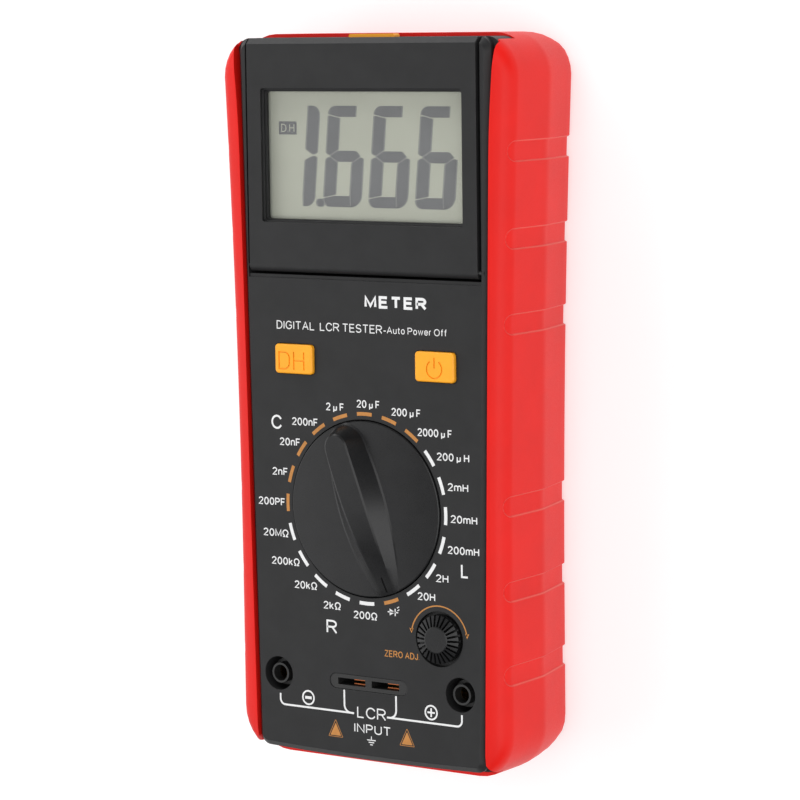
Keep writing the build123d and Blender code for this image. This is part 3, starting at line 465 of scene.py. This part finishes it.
# ---- Rubber boot ------------------------------------------------------------------------------
END = 95.0
STRAIGHT_Y = -52.0  # the boot widens from here towards the display end
WIDENING = 5844.0
SLOPE = math.tan(math.radians(12.5))
KNEE = 18.8
KNEE_BLEND = 1.2
GROOVES = (65.6, 43.7, 22.2, -23.9, -45.7, -67.3)
GROOVE_HALF = 2.55
GROOVE_DEPTH = 0.6
GROOVE_TOP = 34.1
GROOVE_EDGE = 0.22
LIP_START = 33.6
LIP_ROUND = 4.0
HALF_WIDTH = 42.0
FOOT_ROUND = 4.5
LOW_CORNER = 12.0
TOP_CORNER = 11.0
LOW_END_ROUND = 17.0
TOP_END_ROUND = 11.0


def boot_half(y):
    """Half width of the boot."""
    widening = (y - STRAIGHT_Y) ** 2 / WIDENING
    return HALF_WIDTH if y < STRAIGHT_Y else HALF_WIDTH + widening - 0.04 * max(0.0, y) / END


def case_half(y):
    """Half width of the case."""
    return 37.3 + 0.0174 * y


def end_rise(y, low, high, low_round, high_round, back=0.0):
    """Height of the rounded back near either end."""
    for gap, radius in ((y - low, low_round), (high - y, high_round)):
        if gap < radius:
            return back + radius - math.sqrt(max(0.0, radius ** 2 - (radius - max(0.0, gap)) ** 2))
    return back


def plan(half, low, high, low_corner, high_corner, rows):
    """Plan outline as matching points on both sides: up the right side, then down the left."""
    side = []
    for k in range(9):
        turn = math.pi / 2 * k / 8
        y = low + low_corner * (1 - math.cos(turn))
        side.append((half(low + low_corner) - low_corner * (1 - math.sin(turn)), y))
    side += [(half(y), y) for y in rows if low + low_corner < y < high - high_corner]
    for k in range(9):
        turn = math.pi / 2 * (1 - k / 8)
        y = high - high_corner * (1 - math.cos(turn))
        side.append((half(high - high_corner) - high_corner * (1 - math.sin(turn)), y))
    return side + [(-x, y) for x, y in reversed(side)]


def boot_rows():
    """Places along the boot's side, closer together at the groove edges."""
    rows = set(range(-92, 93, 4))
    for middle in GROOVES:
        for edge in (-GROOVE_HALF, GROOVE_HALF):
            rows.update(middle + edge + step * 0.11 for step in range(-3, 4))
        rows.update(middle + step * 0.3 for step in range(-7, 8))
    return sorted(rows)


def boot_sections():
    """(run, height, inset, turn) up the boot's side; turn is how far it faces below level."""
    lean = math.atan(SLOPE)
    start = (KNEE - FOOT_ROUND) * SLOPE + FOOT_ROUND / math.cos(lean)
    sections = []
    for k in range(9):
        turn = math.pi / 2 - k * (math.pi / 2 - lean) / 8
        height = FOOT_ROUND - FOOT_ROUND * math.sin(turn)
        sections.append((height, height, start - FOOT_ROUND * math.cos(turn), turn))
    for z in (6, 8, 10, 12, 14, 16, 17.2):
        sections.append((z, z, (KNEE - z) * SLOPE, lean))
    for k in range(7):
        offset = KNEE_BLEND * (k - 3) / 3
        inset = SLOPE * (KNEE_BLEND - offset) ** 2 / (4 * KNEE_BLEND)
        sections.append((KNEE + offset, KNEE + offset, inset, 0))
    for z in (21, 23, 25, 27, 29, 31, 32, 32.6, 33.1, 33.4):
        sections.append((z, z, 0, 0))
    tilt = math.radians(14)
    centre = FACE_Z - math.tan(tilt) - LIP_ROUND / math.cos(tilt)
    for k in range(19):
        turn = k * (math.pi / 2 - tilt) / 18
        height, inset = centre + LIP_ROUND * math.sin(turn), LIP_ROUND - LIP_ROUND * math.cos(turn)
        sections.append((centre + LIP_ROUND * turn, height, inset, -turn))
    sections.append((centre + 7, FACE_Z, 5.0, 0))
    return sorted(sections)


def groove_away(y, run):
    """Distance from the middle line of the nearest groove, measured over the surface."""
    past_top = max(0.0, run - GROOVE_TOP)
    return min(math.hypot(y - middle, past_top) for middle in GROOVES)


def groove_depth(y, run):
    """Depth of the groove under a place on the skin, with soft edges."""
    share = min(1, max(0, (GROOVE_HALF + GROOVE_EDGE - groove_away(y, run)) / (2 * GROOVE_EDGE)))
    return GROOVE_DEPTH * share * share * (3 - 2 * share)


def boot_skin():
    """The boot's outer skin, grooves included, closed at top and bottom."""
    rows = boot_rows()
    rings = []
    sections = boot_sections()
    sections.insert(0, (0.0, 0.0, sections[0][2] + 1.2, None))
    for run, z, inset, turn in sections:
        ring = []
        for x, y in plan(lambda y: boot_half(y) - inset, -END, END, LOW_CORNER, TOP_CORNER, rows):
            depth = 0 if turn is None else groove_depth(y, run)
            side = math.copysign(1, x)
            x -= side * depth * math.cos(turn or 0)
            height = z + depth * math.sin(turn or 0)
            ring.append((x, y, max(height, end_rise(y, -END, END, LOW_END_ROUND, TOP_END_ROUND))))
        rings.append(ring)
    return loft(rings, cap_pairs=True)


def case_rings(levels, low, high, rise):
    """Rings of the case's outline at (height, extra) levels, with its back rounded at the ends."""
    rings = []
    rows = [y * 4 for y in range(-22, 23)]
    for z, extra in levels:
        ring = plan(lambda y: case_half(y) + extra, low, high, 3.0, 3.5, rows)
        rings.append([(x, y, max(z, rise(y))) for x, y in ring])
    return rings


def block(low, high):
    """Box between two opposite corners."""
    xs, ys = (low[0], high[0]), (low[1], high[1])
    bm = bmesh.new()
    plate(bm, [(xs[0], ys[0]), (xs[1], ys[0]), (xs[1], ys[1]), (xs[0], ys[1])], (low[2], high[2]))
    return bm


boot = solid("rubber_boot", boot_skin())
WALL_GAP = 1.7  # how far the cavity runs past the case's half width
RIM_TOP = 34.9
FLOOR_TOP = 2.5
CAVITY_LOW, CAVITY_HIGH = -92.7, 92.9
cavity = case_rings([(FLOOR_TOP, -2.18), (20.0, WALL_GAP), (RIM_TOP, WALL_GAP)], CAVITY_LOW, CAVITY_HIGH,
                    lambda y: end_rise(y, CAVITY_LOW, CAVITY_HIGH, 14.6, 8.8, FLOOR_TOP))
combine(boot, solid("cut", loft(cavity, cap_pairs=True)), "DIFFERENCE")
rim = case_rings([(26.8, WALL_GAP), (RIM_TOP, WALL_GAP)], -93.5, 94.15, lambda y: 0)
combine(boot, solid("cut", loft(rim, cap_pairs=True)), "DIFFERENCE")
# The opening flares towards the display end.
FLARE_Y = 62
opening_rows = [-96] + list(range(-90, FLARE_Y + 1, 8)) + list(range(64, 98, 2))
opening = [(case_half(y) + 0.15 + 1.5 * max(0.0, (y - FLARE_Y) / 32) ** 2, y) for y in opening_rows]
bm = bmesh.new()
plate(bm, opening + [(-x, y) for x, y in reversed(opening)], (34.8, 41))
combine(boot, solid("cut", bm), "DIFFERENCE")
combine(boot, solid("cut", block((-39.8, 88.5, 26.9), (39.8, 97, 42))), "DIFFERENCE")
JACK_END_Z = 31.5
jack_end = bmesh.new()
plate(jack_end, rounded([(-35.9, -90.5, 0), (-37.2, -92.6, 2), (-37.2, -97, 0), (37.2, -97, 0), (37.2, -92.6, 2),
                         (35.9, -90.5, 0)]), (JACK_END_Z, 42))
combine(boot, solid("cut", jack_end), "DIFFERENCE")
bm = bmesh.new()
plate(bm, rounded([(-25.2, -38.1, 3), (25.2, -38.1, 3), (25.2, 31.5, 3), (-25.2, 31.5, 3)]), (-1, 4))
combine(boot, solid("cut", bm), "DIFFERENCE")
dress(boot, "boot_rubber", "case", "boot_rubber", 24, "holster")

# Painted highlight: pale line along the groove edges, on the outer skin only, standing in for light caught on
# the edges.
EDGE_HIGHLIGHT_REACH = 0.24
edge_highlight = boot.data.attributes.new("painted_edge_highlight", "FLOAT", "POINT")
for vertex in boot.data.vertices:
    x, y, z = vertex.co * 1000
    inset = boot_half(y) - abs(x)
    outer = inset < 3.2 if z > KNEE else inset < (KNEE - z) * SLOPE + 1.2
    on_lip = min(1, (z + 0.1 - LIP_START) / LIP_ROUND)
    run = z if z < LIP_START else LIP_START + LIP_ROUND * math.asin(on_lip)
    away = abs(groove_away(y, run) - GROOVE_HALF)
    strength = 1 if z < LIP_START else 0.6
    edge_highlight.data[vertex.index].value = max(0, 1 - away / EDGE_HIGHLIGHT_REACH) * strength if outer else 0


# ---- Range knob -------------------------------------------------------------------------------
# Distance from the centre towards the pointer, half width at the disc and on top, height over the face.
GRIP = [
    (-21.4, 5.0, 3.2, 5.9),
    (-15.0, 6.2, 3.4, 5.8),
    (-8.0, 7.1, 3.5, 5.5),
    (0.0, 7.4, 3.4, 4.9),
    (7.0, 6.9, 3.1, 3.9),
    (13.0, 6.0, 2.6, 2.6),
    (18.0, 4.9, 2.2, 1.5),
    (23.2, 3.3, 1.8, 0.6),
]
KNOB_R = 22.95


def grip_value(column, reach):
    """A column of the grip's table, read smoothly between its rows."""
    reach = min(max(reach, GRIP[0][0]), GRIP[-1][0])
    k = max(i for i in range(len(GRIP) - 1) if GRIP[i][0] <= reach)

    def slope(i):
        a, b = GRIP[max(i - 1, 0)], GRIP[min(i + 1, len(GRIP) - 1)]
        return (b[column] - a[column]) / (b[0] - a[0])

    span = GRIP[k + 1][0] - GRIP[k][0]
    t = (reach - GRIP[k][0]) / span
    return ((2 * t ** 3 - 3 * t ** 2 + 1) * GRIP[k][column] + (t ** 3 - 2 * t ** 2 + t) * span * slope(k)
            + (3 * t ** 2 - 2 * t ** 3) * GRIP[k + 1][column] + (t ** 3 - t ** 2) * span * slope(k + 1))


def dome(x, y):
    """Height of the knob's slightly domed disc."""
    return FACE_Z + 0.4 + 0.9 * (1 - min(1.0, (x * x + y * y) / KNOB_R ** 2))


def grip_outline(column, tail, tail_round, inset):
    """Half outline of the grip from its rounded tail to the pointer end."""
    side = []
    for k in range(11):
        turn = math.pi / 2 * k / 10
        y = tail + inset + tail_round * (1 - math.cos(turn))
        side.append(((grip_value(column, y) - inset) * math.sin(turn), y))
    first = side[-1][1]
    for k in range(1, 31):
        y = first + (23.4 - first) * k / 30
        side.append((grip_value(column, y) - inset, y))
    return side


base_side = grip_outline(1, -22.6, 5.0, 0)
top_side = grip_outline(2, -20.6, 3.4, 0)
crest_side = grip_outline(2, -20.6, 3.4, 0.3)
skirt_side = grip_outline(1, -22.85, 5.2, -0.25)
levels = []
for share in (None, "skirt", 0.07, 0.5, 0.95, 1.0):
    level = []
    for i, (bx, by) in enumerate(base_side):
        tx, ty = top_side[i]
        top_z = FACE_Z + grip_value(3, ty)
        if share is None:
            level.append((*skirt_side[i], 36.5))
        elif share == "skirt":
            level.append((*skirt_side[i], dome(*skirt_side[i]) + 0.01))
        elif share == 1.0:
            cx, cy = crest_side[i]
            level.append((cx, cy, top_z))
        else:
            x, y = bx + (tx - bx) * share, by + (ty - by) * share
            foot = dome(bx, by) - 0.05
            level.append((x, y, foot + (top_z - foot) * share))
    levels.append(level)
grip_rings = []
for level in levels:
    held = []
    for x, y, z in level:
        far = math.hypot(x, y)
        pull = min(1, (KNOB_R - 0.03) / far) if far else 1
        held.append((x * pull, y * pull, z))
    grip_rings.append(held + [(-x, y, z) for x, y, z in reversed(held)])
knob_place = Matrix.Translation(DIAL) @ Matrix.Rotation(TURN, 4, "Z")
bm = loft(grip_rings, cap_pairs=True)
bmesh.ops.transform(bm, matrix=knob_place, verts=bm.verts)
grip = solid("grip", bm)

# The disc and its hub, turned from a profile of (radius, height).
profile = [(0, 29.7), (5, 29.7), (5, 35), (KNOB_R, 35), (KNOB_R, 38.15)]
profile += [(KNOB_R - 0.08, 38.33), (KNOB_R - 0.28, 38.42)]
profile += [(r, dome(r, 0)) for r in (21, 18, 15, 12, 9, 6, 3)] + [(0, dome(0, 0))]
bm = bmesh.new()
TURNS = 144
for r, z in profile:
    if r == 0:
        bm.verts.new((0, 0, z))
    else:
        for k in range(TURNS):
            turn = 2 * math.pi * k / TURNS
            bm.verts.new((r * math.cos(turn), r * math.sin(turn), z))
bm.verts.ensure_lookup_table()
first = 1
for i in range(len(profile) - 1):
    for k in range(TURNS):
        j = (k + 1) % TURNS
        if i == 0:
            bm.faces.new((bm.verts[0], bm.verts[1 + j], bm.verts[1 + k]))
        elif i == len(profile) - 2:
            bm.faces.new((bm.verts[first + k], bm.verts[first + j], bm.verts[first + TURNS]))
        else:
            upper = first + TURNS
            bm.faces.new([bm.verts[i] for i in (first + k, first + j, upper + j, upper + k)])
    if i:
        first += TURNS
bmesh.ops.transform(bm, matrix=knob_place, verts=bm.verts)
knob = solid("range_dial_knob", bm)
combine(knob, grip, "UNION")

# Groove for the pointer line, along the top of the grip.
bm = bmesh.new()
POINTER_HALF = 0.25
POINTER_DEPTH = 0.35
corners = []
for reach in (18.1, 22.1):
    surface_z = FACE_Z + grip_value(3, reach)
    low_z, high_z = surface_z - POINTER_DEPTH, surface_z + 1
    for x, z in ((-POINTER_HALF, low_z), (POINTER_HALF, low_z),
                 (POINTER_HALF, high_z), (-POINTER_HALF, high_z)):
        corners.append(bm.verts.new((x, reach, z)))
for face in ((0, 1, 2, 3), (7, 6, 5, 4), (0, 4, 5, 1), (1, 5, 6, 2), (2, 6, 7, 3), (3, 7, 4, 0)):
    bm.faces.new([corners[i] for i in face])
bmesh.ops.transform(bm, matrix=knob_place, verts=bm.verts)
combine(knob, solid("cut", bm), "DIFFERENCE")
dress(knob, "knob_plastic", "range_dial_body", "knob_plastic", 12, "range_knob")


# ---- Push buttons with engraved signs ---------------------------------------------------------
ENGRAVED = (38.6, 39.6)
ENGRAVED_LINE = 0.4


def engraved_button(name, node, body, lines):
    """Copy of a button's CAD shape with lines cut into its top."""
    bm = bmesh.new()
    bm.from_mesh(NODES[node].data)
    bmesh.ops.scale(bm, vec=(1000, 1000, 1000), verts=bm.verts)
    cap = solid(name, bm)
    for points, closed in lines:
        cutter = bmesh.new()
        stroke(cutter, points, ENGRAVED_LINE, ENGRAVED, closed)
        combine(cap, solid("cut", cutter), "DIFFERENCE")
    dress(cap, "button_plastic", body, "button_plastic", 30, node)


letter_d = rounded([(-26.1, 8.35, 0), (-22.8, 8.35, 1.6), (-22.8, 12.75, 1.6), (-26.1, 12.75, 0)])
letter_h = [[(-21.4, 8.2), (-21.4, 12.9)], [(-18.2, 8.2), (-18.2, 12.9)], [(-21.3, 10.65), (-18.3, 10.65)]]
hold_lines = [(letter_d, True)] + [(line, False) for line in letter_h]
engraved_button("hold_button_cap", "data_hold_button", "data_hold_body", hold_lines)
power_ring = arc((22.35, 10.45), 2.3, 35, 325, 28)
power_lines = [(power_ring, False), ([(22.35, 10.7), (22.35, 13.35)], False)]
engraved_button("power_button_cap", "power_button", "power_body", power_lines)


# ---- Printing on the face ---------------------------------------------------------------------
RANGES = [
    ("200PF", -29.95, -27.05, 8.6), ("2nF", -27.1, -18.95, 5.0), ("20nF", -23.75, -10.95, 6.6),
    ("200nF", -18.85, -5.4, 8.3), ("2 µ F", -9.2, -0.95, 5.7), ("20 µ F", 1.25, 0.3, 7.2),
    ("200 µ F", 12.95, -1.2, 9.0), ("2000 µ F", 21.65, -5.95, 10.5), ("200 µ H", 27.1, -11.85, 9.8),
    ("2mH", 28.5, -19.45, 6.2), ("20mH", 30.2, -27.6, 8.0), ("200mH", 29.95, -35.6, 9.5),
    ("2H", 23.4, -43.2, 3.8), ("20H", 18.5, -48.3, 5.4), (None, 0, 0, 0), ("200Ω", -0.55, -54.9, 7.4),
    ("2kΩ", -11.05, -53.2, 5.5), ("20kΩ", -19.4, -48.55, 7.2), ("200kΩ", -25.8, -42.7, 9.0),
    ("20MΩ", -28.8, -35.3, 8.1),
]
LABEL_CAP = 2.05
TICK_R = 24.73
TICK = (4.6, 0.95)

white = bmesh.new()
orange = bmesh.new()
for index, (words, x, y, width) in enumerate(RANGES):
    angle = -90 + 18 * index
    half_turn = math.degrees(TICK[0] / 2 / TICK_R)
    colour = orange if index < 8 or words is None else white
    stroke(colour, arc(DIAL, TICK_R, angle - half_turn, angle + half_turn, 6), TICK[1], PRINT_Z)
    if words:
        lettering(white, words, (x, y), LABEL_CAP, PRINT_Z, width, 0.155)
GROUPS = (("C", -28.0, -5.9, 3.75, 3.3), ("L", 30.3, -40.7, 3.65, 2.3), ("R", -11.3, -58.85, 3.6, 3.3))
for words, x, y, cap, width in GROUPS:
    lettering(white, words, (x, y), cap, PRINT_Z, width, 0.14)

# Diode sign.
plate(white, [(7.1, -52.35), (8.7, -53.25), (7.1, -54.15)], PRINT_Z)
stroke(white, [(8.8, -52.3), (8.8, -54.2)], 0.32, PRINT_Z)
stroke(white, [(6.5, -53.25), (9.7, -53.25)], 0.3, PRINT_Z)
stroke(white, [(9.4, -52.1), (10.0, -51.7)], 0.22, PRINT_Z)
stroke(white, [(9.5, -52.8), (10.1, -52.4)], 0.22, PRINT_Z)

# Title lines.
lettering(white, "METER", (10.05, 26.75), 3.2, PRINT_Z, 19.0, 0.23)
lettering(white, "DIGITAL  LCR TESTER-", (-10.1, 19.75), 2.2, PRINT_Z, 34.6, 0.12)
lettering(white, "Auto Power Off", (16.5, 19.7), 1.8, PRINT_Z, 18.3, 0.12)

# Lines from the jacks and the test slots, with the signs between them.
LINE_Y = -81.1
LINE = 0.5
left_line = [(-28.2, -78.2)] + arc((-26.7, LINE_Y + 1.5), 1.5, -90, -180, 6) + [(-4.6, LINE_Y)]
right_line = [(5.8, LINE_Y)] + arc((27.45, LINE_Y + 1.5), 1.5, 180, 90, 6) + [(28.95, -78.0)]
stroke(white, left_line, LINE, PRINT_Z)
stroke(white, right_line, LINE, PRINT_Z)
stroke(white, [(-7.6, -75.2)] + arc((-5.6, LINE_Y + 2.0), 2.0, -90, -180, 6), LINE, OVER_Z)
stroke(white, [(8.7, -75.2)] + arc((6.7, LINE_Y + 2.0), 2.0, 90, 180, 6), LINE, OVER_Z)
for x, y in ((-19.16, -78.5), (19.55, -78.35)):
    stroke(white, arc((x, y), 1.8, 0, 345, 23), 0.45, PRINT_Z, closed=True)
stroke(white, [(-20.2, -78.5), (-18.1, -78.5)], 0.75, PRINT_Z)
stroke(white, [(18.4, -78.35), (20.7, -78.35)], 0.45, PRINT_Z)
stroke(white, [(19.55, -77.2), (19.55, -79.5)], 0.45, OVER_Z)
lettering(white, "LCR", (0.9, -80.6), 3.05, PRINT_Z, 9.0, 0.115)
lettering(white, "INPUT", (1.15, -84.85), 2.4, PRINT_Z, 11.5, 0.13)
stroke(white, [(0.8, -86.7), (0.8, -87.65)], 0.25, PRINT_Z)
for y, half in ((-87.7, 1.35), (-88.3, 0.85), (-88.9, 0.4)):
    stroke(white, [(0.8 - half, y), (0.8 + half, y)], 0.25, PRINT_Z)

# Two plain triangles.
for x in (-10.5, 12.0):
    outline = rounded([(x - 2.25, -87.95, 0.12), (x + 2.25, -87.95, 0.12), (x, -83.4, 0.12)])
    stroke(orange, outline, 0.14, PRINT_Z, closed=True)
    plate(orange, rounded([(x - 1.7, -87.62, 0.1), (x + 1.7, -87.62, 0.1), (x, -84.25, 0.1)]), PRINT_Z)

# Arc with two arrowheads over the zero knob.
stroke(orange, arc(ZERO, 8.6, -80, 80, 40), 0.34, PRINT_Z)
for side in (-1, 1):
    x, y = ZERO[0] + side * 8.5, ZERO[1] + 0.85
    plate(orange, [(x, y + 1.15), (x + 0.62, y + 1.35), (x, y), (x - 0.62, y + 1.35)], PRINT_Z)
lettering(orange, "ZERO ADJ.", (10.75, -64.2), 1.75, PRINT_Z, 10.9, 0.15)
new_piece("printing_white", white, "print_white", "case")
new_piece("printing_orange", orange, "print_orange", "case")


# ---- Digits in the display --------------------------------------------------------------------
LEAN = 0.09
DIGIT_Y = 50.6
INK_LOW = LCD_Z + 0.022
INK_TOP = 34.95
# Each bar's corners (across, up, radius) from its digit's lower left.
BAR_A = [(0, 23.85, 0), (0, 26, 2.1), (8.1, 26, 0), (8.1, 23.15, 0), (3.1, 23.15, 0)]
BAR_F = [(0, 23.5, 0), (3.2, 22.8, 0), (3.25, 14.8, 0), (0.95, 13.3, 0), (0, 14.0, 0)]
BAR_E = [(0, 12.2, 0), (0.95, 12.9, 0), (3.25, 11.4, 0), (3.3, 3.2, 0), (0, 2.5, 0)]
BAR_G = [(1.25, 13.1, 0), (3.6, 14.5, 0), (8.8, 14.5, 1.2), (10.3, 13.1, 0), (8.2, 11.65, 0), (3.6, 11.65, 0)]
BAR_C = [(8.2, 11.3, 0), (10.5, 12.8, 0), (11.3, 12.5, 0), (11.5, 0, 3.2), (8.5, 0, 0), (8.2, 2.9, 0)]
BAR_D = [(3.3, 2.85, 0), (7.9, 2.85, 0), (8.2, 0, 0), (0, 0, 2.2), (0.0, 2.2, 0)]
ONE_B = [(0, 26, 0), (3.3, 26, 2.6), (3.3, 14.1, 0), (2.4, 13.4, 0), (0, 14.8, 0)]
ONE_C = [(0, 11.9, 0), (2.4, 13.1, 0), (3.3, 12.6, 0), (3.3, 0, 2.6), (0.3, 0, 0), (0, 3, 0)]
SIX = [BAR_A, BAR_F, BAR_E, BAR_G, BAR_C, BAR_D]
DIGITS = [(-20.45, [ONE_B, ONE_C]), (-13.9, SIX), (0.35, SIX), (14.7, SIX)]


def segments(shift, z):
    """All the lit segments, moved sideways by a shift."""
    bm = bmesh.new()
    for start, bars in DIGITS:
        for bar in bars:
            points = rounded(bar)
            plate(bm, [(start + shift + u + LEAN * v, DIGIT_Y + v) for u, v in points], z)
    plate(bm, arc((-14.9 + shift, 51.6), 1.05, 0, 345, 23)[::-1], z)
    return bm


new_piece("lcd_shadow_left", segments(-0.5, (LCD_Z, 34.91)), "lcd_shadow", "display_module")
new_piece("lcd_shadow_right", segments(0.4, (LCD_Z + 0.012, 34.92)), "lcd_shadow", "display_module")
lit = segments(0.0, (INK_LOW, INK_TOP))
plate(lit, [(-27.85, 69.1), (-22.2, 69.1), (-22.2, 72.5), (-27.85, 72.5)], (INK_LOW, INK_TOP))
new_piece("lcd_digits", lit, "lcd_ink", "display_module")
hold = bmesh.new()
lettering(hold, "D.H", (-25.0, 70.8), 2.1, (INK_TOP, INK_TOP + 0.015), 4.2, 0.12)
new_piece("lcd_hold_sign", hold, "lcd_panel", "display_module")
